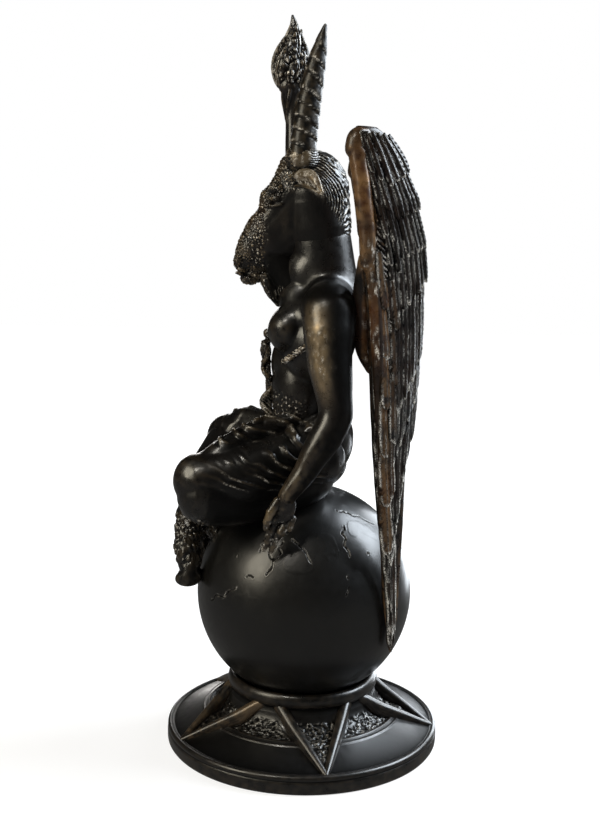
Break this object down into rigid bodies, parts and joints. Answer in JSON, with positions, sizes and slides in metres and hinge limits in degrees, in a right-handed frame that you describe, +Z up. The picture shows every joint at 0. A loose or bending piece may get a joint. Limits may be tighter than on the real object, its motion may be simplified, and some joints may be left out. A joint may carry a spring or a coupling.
{
  "type": "baphomet statue",
  "caption": "Winged goat-headed figure sitting cross-legged on a globe, on a round base with a raised five-pointed star, in dark bronze finish",
  "frame": {"origin": "middle of the base's underside, on the table", "axes": "+Z up, the figure faces -Y, its left side is +X"},
  "size_m": [0.1466, 0.1466, 0.3806],
  "materials": {
    "base_bronze": "dark bronze paint over cast resin, satin",
    "globe_bronze": "near-black bronze paint over cast resin, semi-gloss",
    "figure_bronze": "dark bronze paint with rubbed warm highlights over cast resin, satin",
    "wing_bronze": "brown bronze paint with rubbed feather edges over cast resin, satin"
  },
  "bodies": {
    "root": {"base": "base_bronze", "globe": "globe_bronze", "figure": "figure_bronze", "wing_left": "wing_bronze", "wing_right": "wing_bronze"}
  },
  "joints": []
}
